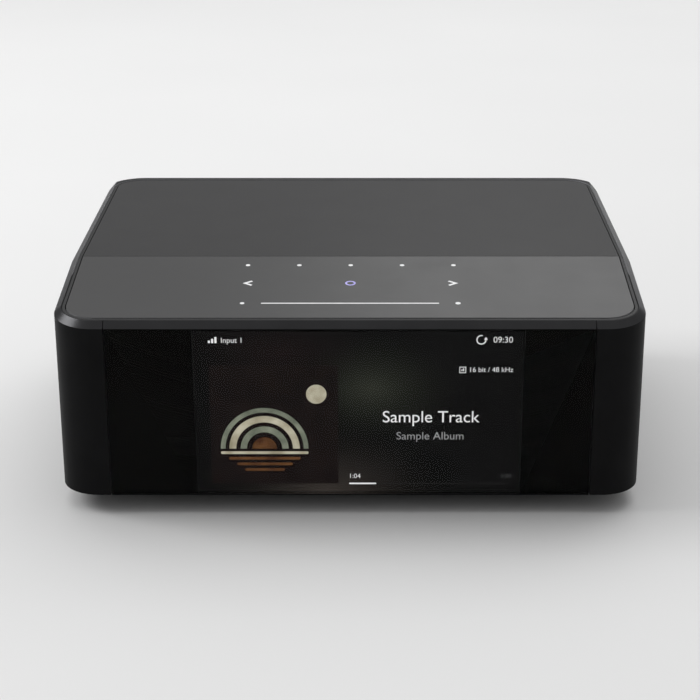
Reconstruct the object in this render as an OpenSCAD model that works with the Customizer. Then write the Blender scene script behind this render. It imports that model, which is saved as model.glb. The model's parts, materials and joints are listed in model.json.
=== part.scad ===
// Network music streamer: a low casing with rounded upright corners, a glass front with a display behind it,
// a sloped control glass at the front of the top and a panel of sockets at the back.
// The front faces -Y. The origin is on the table, under the middle of the outline with its sockets.

/* [Casing] */
// Width across the side walls
body_w = 220; // [212:1:260]
// Depth from the front glass to the back wall
body_d = 180; // [172:1:220]
// Height of the casing at the back, without the feet
body_h = 76; // [74:0.5:95]
// Radius of the upright corners, seen from above
corner_r = 15.5; // [14:0.5:19]
// Thickness of the casing's walls
wall = 3; // [2.6:0.1:3.6]
// Depth of the sloped control panel, from the front
slope_d = 59; // [52:1:66]
// Slope of the control panel in degrees
slope_angle = 7; // [5:0.5:9]
// Reach of the phono sockets behind the back wall
jack_reach = 10; // [9:0.5:13]

/* [Top rim and panels] */
// Width of the chamfer round the top edge
rim_run = 2.65; // [2.2:0.05:3.2]
// Height of the chamfer round the top edge
rim_drop = 2.35; // [1.8:0.05:3]
// Flat strip between the chamfer and the opening for the panels
rim_flat = 0.2; // [0.15:0.05:0.4]
// Gap between the chamfered rim and the lip inside it
lip_gap = 0.15; // [0.1:0.05:0.25]
// Width of the lip that shows round the panels
lip_w = 1.1; // [0.8:0.05:1.3]
// Depth of the lip under the panels' faces
lip_drop = 0.3; // [0.2:0.05:0.6]
// Gap between the lip and the panels
panel_gap = 0.4; // [0.3:0.05:0.8]
// Gap between the two panels
crease_gap = 0.15; // [0.1:0.05:0.3]
// Thickness of the control glass and of the top plate
panel_t = 3; // [2.4:0.1:3.6]
// Thickness of the carrier under the panels
carrier_t = 2; // [1.6:0.1:2.4]
// Width of the carrier's bar under the line where the panels meet
carrier_bar = 10; // [8:0.5:14]
// Width of the casing's ledge under the carrier
ledge_w = 4.2; // [3.4:0.1:5]
// Thickness of the casing's ledge under the carrier
ledge_t = 2; // [1.6:0.1:2.4]

/* [Front] */
// Distance between the two upright seams of the front
front_w = 180.5; // [172:0.5:184]
// Gap in each seam
seam_gap = 0.3; // [0.2:0.05:0.4]
// Thickness of the front glass
glass_t = 1.8; // [1.4:0.1:2.2]
// Height of the sill under the front glass
sill_h = 0.5; // [0.4:0.1:0.9]
// Width of the display panel
screen_w = 122; // [110:0.5:136]
// Thickness of the display panel
screen_t = 1.9; // [1.6:0.1:2.4]
// Distance of the display's middle from the middle of the front
screen_shift = 3.2; // [0:0.2:5]
// Height of the display's lower edge over the glass's lower edge
screen_low = 0.1; // [0:0.1:1.5]
// Distance of the display's upper edge from the chamfer
screen_high = 1.3; // [1:0.1:3]
// Thickness of the frame behind the display
screen_frame_t = 2.2; // [1.6:0.1:3]
// Width of each foot of the fascia on the base plate
fascia_foot_w = 10; // [8:0.5:12]
// Depth of each foot of the fascia on the base plate
fascia_foot_d = 11; // [9:0.5:14]
// Thickness of each foot of the fascia
fascia_foot_t = 4; // [3:0.5:6]

/* [Base and feet] */
// Height of the feet under the casing
foot_h = 7.5; // [6:0.5:12]
// Radius of a foot
foot_r = 10; // [8:0.5:13]
// Radius of the recess in a foot for its screw
foot_recess_r = 4.5; // [4:0.25:5.5]
// Distance of the feet from the side walls
foot_side = 28; // [22:1:40]
// Distance of the front feet from the front
foot_front = 30; // [28:1:45]
// Distance of the back feet from the back wall
foot_back = 24; // [18:1:40]
// Thickness of the base plate
base_t = 1.5; // [1.2:0.1:2]
// Height of the base plate over the casing's lower edge
base_up = 1.1; // [0.4:0.1:1.4]
// Radius of the casing's screw bosses
boss_r = 4.5; // [4:0.25:5]
// Height of the casing's screw bosses
boss_h = 20; // [14:1:26]
// Length of a ventilation slot in the base plate
vent_l = 34; // [20:1:45]
// Width of a ventilation slot
vent_w = 2; // [1.6:0.1:2.6]
// Distance from one ventilation slot to the next
vent_step = 5; // [4:0.5:8]
// Number of slots in each of the base plate's two rows
base_vents = 12; // [6:1:16]

/* [Boards] */
// Height of the standoffs under the boards
standoff_h = 6; // [5:0.5:8]
// Radius of a standoff
standoff_r = 3; // [2.6:0.1:3.6]
// Thickness of every circuit board
board_t = 1.6; // [1.2:0.1:2]
// Depth of the main board
main_d = 98; // [90:1:104]
// Distance of the main board's left edge from the middle
main_left = 46; // [44:0.5:48]
// Distance of the main board's right edge from the side wall's outside
main_side = 16; // [14:0.5:24]
// Distance of the power board's right edge from the middle
power_right = 54; // [51:0.5:57]
// Depth of the power board
power_d = 110; // [100:1:114]
// Side of the processor
chip_w = 22; // [16:1:28]
// Thickness of the processor
chip_t = 2; // [1.4:0.1:3]
// Side of the heat sink
sink_w = 34; // [28:1:40]
// Height of the heat sink
sink_h = 16; // [10:1:20]
// Number of fins on the heat sink
sink_fins = 9; // [5:1:11]
// Width of the display's ribbon cable
display_ribbon_w = 24; // [16:1:30]
// Width of the touch board's ribbon cable
touch_ribbon_w = 14; // [10:1:18]
// Thickness of the ribbon cables
ribbon_t = 0.3; // [0.2:0.05:0.5]
// Width of the touch board
touch_w = 150; // [120:1:160]

/* [Back panel] */
// Thickness of the back panel
rear_t = 1.5; // [1:0.1:2]
// Distance of the back wall's window from the side walls
window_side = 26; // [24:0.5:28]
// Height of the window's lower edge over the casing's lower edge
window_low = 8.5; // [7:0.5:9]
// Distance of the window's upper edge from the top
window_top = 14.5; // [13:0.5:15]
// Overlap of the back panel round the window
rebate = 5; // [4.8:0.1:5.6]
// Number of ventilation slots in the back panel
rear_vents = 7; // [4:1:7]
// Length of a ventilation slot in the back panel
rear_vent_l = 26; // [16:1:30]

/* [Sockets] */
// Distance of the mains inlet from the window's edge
inlet_side = 16; // [15:0.5:18]
// Middle of the network socket, from the middle of the back
ethernet_x = -38; // [-39:0.5:-36]
// Middle of the USB socket, from the middle of the back
usb_x = -16; // [-18:0.5:-14]
// Middle of the HDMI socket, from the middle of the back
hdmi_x = 4; // [2:0.5:6]
// Middle of the optical input, from the middle of the back
optical_in_x = 24; // [22:0.5:26]
// Middle of the optical output, from the middle of the back
optical_out_x = 42; // [40:0.5:44]
// Middle of the trigger socket, from the middle of the back
trigger_x = 60; // [57:0.5:66]
// Middle of the right balanced output, from the middle of the back
xlr_right_x = -58; // [-64:0.5:-57]
// Middle of the left balanced output, from the middle of the back
xlr_left_x = -26; // [-30:0.5:-25]
// Middle of the line outputs, from the middle of the back
line_x = 4; // [2:0.5:6]
// Middle of the coaxial and subwoofer outputs, from the middle of the back
coax_x = 24; // [22:0.5:27]
// Height from one phono socket to the one over it
phono_step = 18; // [16:0.5:19]
// Radius of a phono socket's collar
phono_r = 4.15; // [4.1:0.05:4.2]
// Radius of the hole in a trigger socket for a 3.5 mm plug
trigger_r = 1.8; // [1.78:0.01:1.85]
// Radius of the hole in a headphone socket for a 6.35 mm plug
headphone_r = 3.25; // [3.2:0.01:3.3]
// Depth of the hole in a headphone socket
headphone_l = 30; // [28:1:33]
// Distance of the headphone sockets from the front
headphone_y = 42; // [38:1:50]
// Height of the headphone sockets over the casing's lower edge
headphone_z = 24.5; // [20:0.5:32]
// Thickness of an optical socket's shutter
shutter_t = 1; // [0.8:0.1:1.2]
// Radius of a shutter's hinge pins
shutter_pin_r = 0.6; // [0.5:0.05:0.65]
// Running clearance round a shutter's hinge pins
hinge_gap = 0.06; // [0.03:0.01:0.1]

/* [Fasteners and clearances] */
// Radius of the screws' shanks
screw_r = 1.2; // [1:0.05:1.4]
// Radius of the screws' heads
head_r = 2.2; // [2:0.05:2.4]
// Height of the screws' heads
head_h = 1.6; // [1.2:0.1:1.8]
// Clearance round a screw's thread
thread_gap = 0.05; // [0.03:0.01:0.1]
// Clearance round a screw or socket that passes through a plate
hole_gap = 0.25; // [0.2:0.05:0.35]
// Clearance between pieces that drop into each other
fit_gap = 0.1; // [0.05:0.05:0.15]

/* [Hidden] */
$fn = 72;
// Half the side of the blocks that cut with one flat face
reach = 500;
// How far a cut runs past the face that it opens
over = 1;
// Height of the chamfer's cutting slab, which widens downwards past the walls
cap_depth = 20;

// Main levels and planes
floor_z = foot_h;
top_z = floor_z + body_h;
front_y = -(body_d + jack_reach) / 2;
back_y = front_y + body_d;
mid_y = (front_y + back_y) / 2;
kink_y = front_y + slope_d;
base_top = floor_z + base_up + base_t;
board_low = base_top + standoff_h;
board_top = board_low + board_t;

// Insets from the casing's outside and depths under its top
opening_in = rim_run + rim_flat;
lip_in = opening_in + lip_gap;
panel_in = lip_in + lip_w + panel_gap;
ledge_in = opening_in + ledge_w;
carrier_past = 1;
carrier_in = ledge_in + carrier_past;
ledge_drop = panel_t + carrier_t;
cavity_drop = ledge_drop + ledge_t;

// The chamfer's lower edge on the front, along the slope and as a height
slope_front = -(slope_d + rim_drop * sin(slope_angle)) / cos(slope_angle);
rim_low_z = top_z + slope_front * sin(slope_angle) - rim_drop * cos(slope_angle);

// Front glass and display
fascia_half = front_w / 2 - seam_gap;
glass_low = floor_z + sill_h + fit_gap;
glass_high = rim_low_z - seam_gap;
screen_y = front_y + glass_t;
screen_back = screen_y + screen_t;
frame_back = screen_back + screen_frame_t;
screen_z0 = glass_low + screen_low;
screen_z1 = rim_low_z - screen_high;
frame_side = 2;
frame_drop = 5;
fascia_foot_in = 4;
fascia_foot_x = fascia_half - fascia_foot_w / 2 - fascia_foot_in;
fascia_screw_y = front_y + wall + fascia_foot_d / 2;
tab_t = 2;
tab_root = 6;
tab_end = body_w / 2 - corner_r - seam_gap;

// Casing bosses, on the corners' diagonals and merged with the walls
boss_in = corner_r - (corner_r - wall - boss_r + over) / sqrt(2);
boss_x = body_w / 2 - boss_in;
boss_spots = [for (x = [-1, 1], y = [front_y + boss_in, back_y - boss_in]) [x * boss_x, y]];
fascia_spots = [for (x = [-1, 1]) [x * fascia_foot_x, fascia_screw_y]];
foot_x = body_w / 2 - foot_side;
foot_front_y = front_y + foot_front;
foot_back_y = back_y - foot_back;
foot_spots = [for (x = [-1, 1], y = [foot_front_y, foot_back_y]) [x * foot_x, y]];
foot_web = 4;
foot_screw_past = 2;
screw_l = 8;
recess_l = 2.6;
recess_w = 0.6;
recess_h = 0.7;

// Boards, with their corners and their screws' places
main_back_gap = 2.5;
main_x0 = -main_left;
main_x1 = body_w / 2 - main_side;
main_y1 = back_y - wall - main_back_gap;
main_y0 = main_y1 - main_d;
power_side_gap = 3;
power_back_gap = 12;
power_x0 = -(body_w / 2 - wall - power_side_gap);
power_x1 = -power_right;
power_y1 = back_y - wall - power_back_gap;
power_y0 = power_y1 - power_d;
hole_in = 5;
main_back_hole = 22;
main_hole_xs = [main_x0 + hole_in, main_x1 - hole_in];
main_hole_ys = [main_y0 + hole_in, main_y1 - main_back_hole];
power_hole_xs = [power_x0 + hole_in, power_x1 - hole_in];
power_hole_ys = [power_y0 + hole_in, power_y1 - hole_in];
main_spots = [for (x = main_hole_xs, y = main_hole_ys) [x, y]];
power_spots = [for (x = power_hole_xs, y = power_hole_ys) [x, y]];
board_spots = concat(main_spots, power_spots);

// Pieces on the boards, with their distances from the boards' edges
processor_in = 40;
processor_spot = [(main_x0 + main_x1) / 2, main_y0 + processor_in];
module_in = [26, 24];
module_spot = [main_x1 - module_in[0], main_y0 + module_in[1]];
module_size = [24, 18, 3];
dac_in = [20, 30];
dac_step = 16;
dac_count = 3;
dac_spots = [for (i = [0 : dac_count - 1]) [main_x0 + dac_in[0], main_y0 + dac_in[1] + i * dac_step]];
dac_size = [12, 9, 1.4];
power_mid_x = (power_x0 + power_x1) / 2;
transformer_in = 62;
transformer_spot = [power_mid_x, power_y0 + transformer_in];
core_size = [36, 16, 26];
winding_size = [25, 32, 21];
capacitor_in = 22;
capacitor_r = 6;
capacitor_h = 24;
capacitor_step = 14;
lead_t = 0.8;
lead_w = 8;
lead_h = 8;
lead_in = [3, 30];
antenna_size = [8, 50, 0.8];
antenna_side = 22;
antenna_back = 30;

// Ribbon cables: where they leave, how high they run and where they land on the main board
display_ribbon_run = 6;
display_ribbon_h = 14;
display_ribbon_slack = 4;
display_ribbon_land = 8;
touch_in = 3;
touch_ribbon_in = 8;
touch_ribbon_h = 22;
touch_ribbon_foot = 10;
touch_ribbon_land = 12;

// Back panel
window_w = body_w - 2 * window_side;
window_z0 = floor_z + window_low;
window_z1 = top_z - window_top;
rear_screw_x = window_w / 2 + rebate / 2;
rear_screw_in = 6;
rear_spots = concat(
    [for (x = [-1, 1], z = [window_z0 + rear_screw_in, window_z1 - rear_screw_in]) [x * rear_screw_x, z]],
    [[0, window_z0 - rebate / 2], [0, window_z1 + rebate / 2]]
);
rear_inside = back_y - rear_t;
rear_vent_in = [6, 4];
rear_vent_x = window_w / 2 - rear_vent_in[0];
rear_vent_z = window_z1 - rear_vent_in[1] - rear_vent_l / 2;

// Sockets that stand on the main board
socket_out = 0.6;
socket_face = back_y + socket_out;
shield_t = 0.4;
ethernet_size = [16.2, 21, 13.4];
ethernet_plug = [11.8, 14, 7.2];
ethernet_plug_z = 4;
latch_w = 6.2;
latch_h = 2.6;
contact_w = 0.5;
contact_t = 0.4;
contact_l = 9;
contact_step = 1.02;
contact_count = 8;
usb_size = [13.2, 14, 5.8];
tongue_root = 2;
usb_tongue_size = [11.2, 9, 1.8];
hdmi_size = [15.2, 12, 5.8];
hdmi_bevel = 2;
hdmi_tongue_size = [11.6, 8, 1.2];
trigger_body = [9, 13, 9];
trigger_nose_r = 3.2;
trigger_out = 1.2;
trigger_face = back_y + trigger_out;
trigger_l = 14;
trigger_z = board_top + trigger_body[2] / 2;

// Optical sockets and their shutters
optical_size = [13.6, 18, 11.4];
optical_out = 1.2;
optical_face = back_y + optical_out;
optical_mouth = [9.9, 13, 9.2];
optical_floor = 1.1;
optical_mouth_z = board_top + optical_floor;
optical_lip = [0.8, 0.8];
shutter_side = 0.25;
shutter_pin_l = 1.2;
shutter_floor = 0.35;
shutter_roof = 0.4;
shutter_sill = 0.3;
barrel_wall = 0.2;
shutter_barrel_r = shutter_pin_r + barrel_wall;
shutter_y = optical_face - optical_lip[0] - shutter_sill - shutter_t / 2;
shutter_z = optical_mouth_z + optical_mouth[2] - shutter_roof - shutter_barrel_r;
lens_r = 1.2;
lens_l = 2.4;

// Mains inlet
inlet_x = -window_w / 2 + inlet_side;
inlet_up = 9;
inlet_z = board_top + inlet_up;
inlet_mouth = [17.4, 8.8];
inlet_wall = 1.3;
inlet_flange = [24, 14.6];
inlet_flange_t = 1.6;
inlet_depth = 12;
mains_pin_r = 1.18;
mains_pin_l = 9.8;
mains_pin_step = 8.6;

// Balanced outputs
xlr_xs = [xlr_right_x, xlr_left_x];
xlr_flange = [26, 31];
xlr_flange_t = 2;
xlr_flange_r = 3;
xlr_down = 1.5;
xlr_z = window_z1 - xlr_down - xlr_flange[1] / 2;
xlr_barrel_r = 11.6;
xlr_barrel_l = 20;
xlr_mouth_r = 9.4;
xlr_mouth_l = 15;
xlr_pin_r = 1.2;
xlr_pin_l = 11.5;
xlr_pin_circle = 4;
xlr_pin_turns = [45, 135, 270];
xlr_screw = [9.5, 12];
xlr_spots = [for (x = xlr_xs, s = [-1, 1]) [x + s * xlr_screw[0], xlr_z + s * xlr_screw[1]]];

// Phono sockets: line outputs, then subwoofer over coaxial
phono_down = 9;
phono_top_z = window_z1 - phono_down;
phono_low_z = phono_top_z - phono_step;
phono_spots = [[line_x, phono_top_z], [line_x, phono_low_z], [coax_x, phono_top_z], [coax_x, phono_low_z]];
ring_t = 1.6;
ring_r = 6.4;
shoulder_t = 0.8;
shoulder_r = 5.6;
phono_thread_r = 3.9;
phono_tail = 6;
phono_bore_r = 3.3;
insulator_r = phono_bore_r - thread_gap;
insulator_in = 1.5;
contact_in = 2.5;
contact_back = 2;
contact_r = 2.1;
contact_bore_r = 1.65;
contact_tail_r = 0.8;
nut_r = 5.8;
nut_t = 2.2;
tail_y = back_y - xlr_barrel_l;

// Headphone sockets
headphone_bezel_r = 6.5;
headphone_bezel_t = 0.8;
headphone_recess = headphone_bezel_t + fit_gap;
headphone_barrel_r = 5;
headphone_body_w = 14;
headphone_end = 2;

// Shared shapes

module rounded_rect(w, d, r) {
    square([w - 2 * r, d], center = true);
    square([w, d - 2 * r], center = true);
    for (x = [-1, 1], y = [-1, 1])
        translate([x * (w / 2 - r), y * (d / 2 - r)])
            circle(r);
}

module stadium(w, h) {
    square([w - h, h], center = true);
    for (x = [-1, 1])
        translate([x * (w - h) / 2, 0])
            circle(h / 2);
}

// A block between two corners
module block(low, high) {
    translate(low)
        cube(high - low);
}

// A round bar along Y, from one depth to the other
module bar_y(x, z, r, y0, y1) {
    translate([x, y1, z])
        rotate([90, 0, 0])
            cylinder(h = y1 - y0, r = r);
}

// An outline in X and Z, drawn out along Y from one depth to the other
module plate_y(x, z, y0, y1) {
    translate([x, y1, z])
        rotate([90, 0, 0])
            linear_extrude(y1 - y0)
                children();
}

// A pan head screw with a cross recess, its head's underside at the origin and its shank along -Z
module screw(length) {
    difference() {
        cylinder(h = head_h, r = head_r);
        for (turn = [0, 90])
            rotate(turn)
                block(
                    [-recess_l / 2, -recess_w / 2, head_h - recess_h],
                    [recess_l / 2, recess_w / 2, head_h + over]
                );
    }
    translate([0, 0, -length])
        cylinder(h = length, r = screw_r);
}

// Upright holes at a list of places
module holes(spots, r, low, high) {
    for (spot = spots)
        translate([spot[0], spot[1], low])
            cylinder(h = high - low, r = r);
}

// A flat cable along a path, as an outline of even thickness
function turn_left(v) = [-v[1], v[0]] / norm(v);
function mitre(path, i) =
    let (
        last = len(path) - 1,
        before = turn_left(path[max(i, 1)] - path[max(i, 1) - 1]),
        after = turn_left(path[min(i, last - 1) + 1] - path[min(i, last - 1)])
    )
    (before + after) / (1 + before * after);
function ribbon_outline(path, t) = concat(
    [for (i = [0 : len(path) - 1]) path[i] + mitre(path, i) * t / 2],
    [for (i = [len(path) - 1 : -1 : 0]) path[i] - mitre(path, i) * t / 2]
);

// A flat cable that runs in the Y and Z plane
module ribbon_yz(x, path, w, t) {
    translate([x - w / 2, 0, 0])
        rotate([90, 0, 90])
            linear_extrude(w)
                polygon(ribbon_outline(path, t));
}

// The casing's outline as an upright block, moved inwards
module casing_block(inset, low, high) {
    translate([0, mid_y, low])
        linear_extrude(high - low)
            rounded_rect(body_w - 2 * inset, body_d - 2 * inset, corner_r - inset);
}

// Everything under the top surface, flat at the back and sloped at the front, lowered by drop
module under_top(drop) {
    intersection() {
        translate([-reach, -reach, -reach])
            cube([2 * reach, 2 * reach, reach + top_z - drop]);
        translate([0, kink_y, top_z])
            rotate([slope_angle, 0, 0])
                translate([-reach, -reach, -reach - drop])
                    cube([2 * reach, 2 * reach, reach]);
    }
}

module cap_section(width, grow) {
    polygon([
        [-width / 2 - grow, -cap_depth],
        [width / 2 + grow, -cap_depth],
        [width / 2, 0],
        [-width / 2, 0]
    ]);
}

// A slab with its top at zero, whose chamfered sides widen downwards past the casing's walls
module chamfer_cap(w, low_y, high_y, r) {
    d = high_y - low_y;
    grow = cap_depth * rim_run / rim_drop;
    translate([0, (low_y + high_y) / 2, 0]) {
        translate([-(w / 2 - r), 0, 0])
            rotate([90, 0, 90])
                linear_extrude(w - 2 * r)
                    cap_section(d, grow);
        translate([0, d / 2 - r, 0])
            rotate([90, 0, 0])
                linear_extrude(d - 2 * r)
                    cap_section(w, grow);
        for (x = [-1, 1], y = [-1, 1])
            translate([x * (w / 2 - r), y * (d / 2 - r), -cap_depth])
                cylinder(h = cap_depth, r1 = r + grow, r2 = r);
    }
    translate([-reach, -reach, -cap_depth - reach])
        cube([2 * reach, 2 * reach, reach]);
}

// The casing's outside: the chamfer runs along the front and the sides, and runs out at the back corners
module casing_envelope() {
    cap_w = body_w - 2 * rim_run;
    cap_r = corner_r - rim_run;
    intersection() {
        casing_block(0, floor_z, top_z + over);
        translate([0, 0, top_z])
            chamfer_cap(cap_w, front_y - body_d, back_y + body_d, cap_r);
        translate([0, kink_y, top_z])
            rotate([slope_angle, 0, 0])
                chamfer_cap(cap_w, slope_front + rim_run, 2 * body_d, cap_r);
    }
}

// The pocket in the top for the carrier and its panels
module top_pocket() {
    difference() {
        casing_block(opening_in, floor_z, top_z + over);
        under_top(ledge_drop);
    }
}

// The space inside the walls and under the ledge
module wall_cavity() {
    intersection() {
        casing_block(wall, floor_z - over, top_z);
        under_top(cavity_drop);
    }
}

// The space that the display panel drops into
module screen_pocket() {
    block(
        [screen_shift - screen_w / 2 - fit_gap, front_y, screen_z0 - fit_gap],
        [screen_shift + screen_w / 2 + fit_gap, screen_back + fit_gap, screen_z1 + fit_gap]
    );
}

// Casing, front and top

module body_shell() {
    color("#26272a")
        difference() {
            union() {
                difference() {
                    casing_envelope();
                    top_pocket();
                    wall_cavity();
                    casing_block(ledge_in, floor_z - over, top_z + over);
                }
                holes(boss_spots, boss_r, base_top, base_top + boss_h);
            }
            holes(boss_spots, screw_r + thread_gap, base_top - over, base_top + screw_l);
            block(
                [-front_w / 2, front_y - over, floor_z - over],
                [front_w / 2, front_y + ledge_in + over, top_z + over]
            );
            block(
                [-window_w / 2, back_y - wall - over, window_z0],
                [window_w / 2, back_y + over, window_z1]
            );
            block(
                [-window_w / 2 - rebate, rear_inside, window_z0 - rebate],
                [window_w / 2 + rebate, back_y + over, window_z1 + rebate]
            );
            for (spot = rear_spots)
                bar_y(spot[0], spot[1], screw_r + thread_gap, back_y - wall - over, back_y);
            for (side = [0, 1])
                mirror([side, 0, 0])
                    translate([body_w / 2, front_y + headphone_y, floor_z + headphone_z])
                        rotate([0, -90, 0]) {
                            translate([0, 0, -over])
                                cylinder(h = headphone_recess + over, r = headphone_bezel_r + fit_gap);
                            cylinder(h = wall + over, r = headphone_barrel_r + hole_gap);
                        }
        }
}

module front_fascia() {
    color("#1b1c1e")
        difference() {
            union() {
                difference() {
                    intersection() {
                        casing_envelope();
                        block(
                            [-fascia_half, front_y - over, floor_z],
                            [fascia_half, front_y + ledge_in, top_z]
                        );
                    }
                    top_pocket();
                    wall_cavity();
                }
                // Tabs behind the casing's short front returns
                for (side = [0, 1])
                    mirror([side, 0, 0])
                        block(
                            [fascia_half - tab_root, front_y + wall, base_top + fascia_foot_t],
                            [tab_end, front_y + wall + tab_t, screen_z1 - frame_drop - over]
                        );
                // Feet that the base plate's screws go into
                for (spot = fascia_spots)
                    translate([spot[0], front_y, base_top])
                        block(
                            [-fascia_foot_w / 2, glass_t + fit_gap, 0],
                            [fascia_foot_w / 2, wall + fascia_foot_d, fascia_foot_t]
                        );
            }
            block(
                [-front_w, front_y - over, floor_z + sill_h],
                [front_w, screen_y, glass_high + fit_gap]
            );
            screen_pocket();
            holes(fascia_spots, screw_r + thread_gap, base_top - over, base_top + fascia_foot_t + over);
        }
}

module front_glass() {
    color("#0c0c0d")
        block([-fascia_half, front_y, glass_low], [fascia_half, screen_y, glass_high]);
}

// One of the two panels on the carrier, between two depths
module top_panel(low_y, high_y) {
    difference() {
        intersection() {
            casing_block(panel_in, floor_z, top_z + over);
            under_top(0);
            block([-body_w, low_y, 0], [body_w, high_y, top_z + over]);
        }
        under_top(panel_t);
    }
}

module control_glass() {
    color("#3a3b3d")
        top_panel(front_y - over, kink_y - crease_gap / 2);
}

module top_plate() {
    color("#2e2f31")
        top_panel(kink_y + crease_gap / 2, back_y + over);
}

module top_carrier() {
    color("#19191b")
        difference() {
            intersection() {
                casing_block(lip_in, floor_z, top_z + over);
                under_top(lip_drop);
            }
            under_top(ledge_drop);
            screen_pocket();
            difference() {
                casing_block(lip_in + lip_w, floor_z, top_z + over);
                under_top(panel_t);
            }
            difference() {
                casing_block(carrier_in, floor_z, top_z + over);
                translate([0, kink_y, 0])
                    block([-body_w, -carrier_bar / 2, 0], [body_w, carrier_bar / 2, top_z + 2 * over]);
            }
        }
}

// Base and feet

module base_plate() {
    vent_row = (base_vents - 1) * vent_step;
    color("#2b2c2e")
        difference() {
            casing_block(wall + fit_gap, floor_z + base_up, base_top);
            block(
                [screen_shift - screen_w / 2 - frame_side - hole_gap, front_y, floor_z],
                [screen_shift + screen_w / 2 + frame_side + hole_gap, frame_back + hole_gap, base_top + over]
            );
            holes(concat(boss_spots, fascia_spots), screw_r + hole_gap, floor_z, base_top + over);
            holes(foot_spots, screw_r + thread_gap, floor_z, base_top + over);
            for (row_y = [mid_y - vent_l, mid_y + vent_l], i = [0 : base_vents - 1])
                translate([i * vent_step - vent_row / 2, row_y, floor_z])
                    linear_extrude(2 * (base_top - floor_z))
                        rotate(90)
                            stadium(vent_l, vent_w);
        }
}

// A rubber foot with a recess for the screw that holds it
module foot(x, y) {
    color("#141414")
        translate([x, y, 0])
            difference() {
                cylinder(h = floor_z + base_up, r = foot_r);
                translate([0, 0, -over])
                    cylinder(h = over + foot_web, r = foot_recess_r);
                cylinder(h = floor_z + base_up + over, r = screw_r + hole_gap);
            }
}

module foot_front_left() {
    foot(-foot_x, foot_front_y);
}

module foot_front_right() {
    foot(foot_x, foot_front_y);
}

module foot_rear_left() {
    foot(-foot_x, foot_back_y);
}

module foot_rear_right() {
    foot(foot_x, foot_back_y);
}

module foot_screws() {
    color("#8d8f92")
        for (spot = foot_spots)
            translate([spot[0], spot[1], foot_web])
                rotate([180, 0, 0])
                    screw(base_top - foot_web + foot_screw_past);
}

module base_screws() {
    color("#8d8f92")
        for (spot = concat(boss_spots, fascia_spots))
            translate([spot[0], spot[1], floor_z + base_up])
                rotate([180, 0, 0])
                    screw(base_t + fascia_foot_t);
}

// Back panel

module rear_panel() {
    inlet_room = inlet_wall + hole_gap;
    color("#1f2022")
        difference() {
            block(
                [-window_w / 2 - rebate + fit_gap, rear_inside, window_z0 - rebate + fit_gap],
                [window_w / 2 + rebate - fit_gap, back_y, window_z1 + rebate - fit_gap]
            );
            for (spot = concat(rear_spots, xlr_spots))
                rear_hole(spot, screw_r + hole_gap);
            for (x = xlr_xs)
                rear_hole([x, xlr_z], xlr_barrel_r + hole_gap);
            for (spot = phono_spots)
                rear_hole(spot, phono_thread_r + hole_gap);
            rear_hole([trigger_x, trigger_z], trigger_nose_r + hole_gap);
            rear_cut(ethernet_x, ethernet_size);
            rear_cut(usb_x, usb_size);
            rear_cut(hdmi_x, hdmi_size);
            rear_cut(optical_in_x, optical_size);
            rear_cut(optical_out_x, optical_size);
            plate_y(inlet_x, inlet_z, rear_inside - over, back_y + over)
                stadium(inlet_mouth[0] + 2 * inlet_room, inlet_mouth[1] + 2 * inlet_room);
            for (i = [0 : rear_vents - 1])
                plate_y(rear_vent_x - i * vent_step, rear_vent_z, rear_inside - over, back_y + over)
                    rotate(90)
                        stadium(rear_vent_l, vent_w);
        }
}

module rear_hole(spot, r) {
    bar_y(spot[0], spot[1], r, rear_inside - over, back_y + over);
}

// An opening in the back panel round a socket that stands on the main board
module rear_cut(x, size) {
    block(
        [x - size[0] / 2 - hole_gap, rear_inside - over, board_top - hole_gap],
        [x + size[0] / 2 + hole_gap, back_y + over, board_top + size[2] + hole_gap]
    );
}

module rear_screws() {
    color("#6f7174") {
        for (spot = rear_spots)
            translate([spot[0], back_y, spot[1]])
                rotate([-90, 0, 0])
                    screw(wall + over);
        for (spot = xlr_spots)
            translate([spot[0], back_y + xlr_flange_t, spot[1]])
                rotate([-90, 0, 0])
                    screw(wall + over);
    }
}

// Sockets

module mains_inlet() {
    color("#111112")
        difference() {
            union() {
                plate_y(inlet_x, inlet_z, back_y, back_y + inlet_flange_t)
                    stadium(inlet_flange[0], inlet_flange[1]);
                plate_y(inlet_x, inlet_z, back_y + inlet_flange_t - inlet_depth - inlet_wall, back_y + over)
                    stadium(inlet_mouth[0] + 2 * inlet_wall, inlet_mouth[1] + 2 * inlet_wall);
            }
            plate_y(inlet_x, inlet_z, back_y + inlet_flange_t - inlet_depth, back_y + inlet_flange_t + over)
                stadium(inlet_mouth[0], inlet_mouth[1]);
        }
}

module mains_pins() {
    pin_y = back_y + inlet_flange_t - inlet_depth;
    color("#c9c9c6")
        for (s = [-1, 1])
            bar_y(inlet_x + s * mains_pin_step / 2, inlet_z, mains_pin_r, pin_y, pin_y + mains_pin_l);
}

// A thin box that stands on the main board, open at the back
module socket_shell(x, size, face) {
    difference() {
        block(
            [x - size[0] / 2, face - size[1], board_top],
            [x + size[0] / 2, face, board_top + size[2]]
        );
        block(
            [x - size[0] / 2 + shield_t, face - size[1] + shield_t, board_top + shield_t],
            [x + size[0] / 2 - shield_t, face + over, board_top + size[2] - shield_t]
        );
    }
}

module ethernet_shield() {
    color("#b9bbbd")
        socket_shell(ethernet_x, ethernet_size, socket_face);
}

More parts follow.
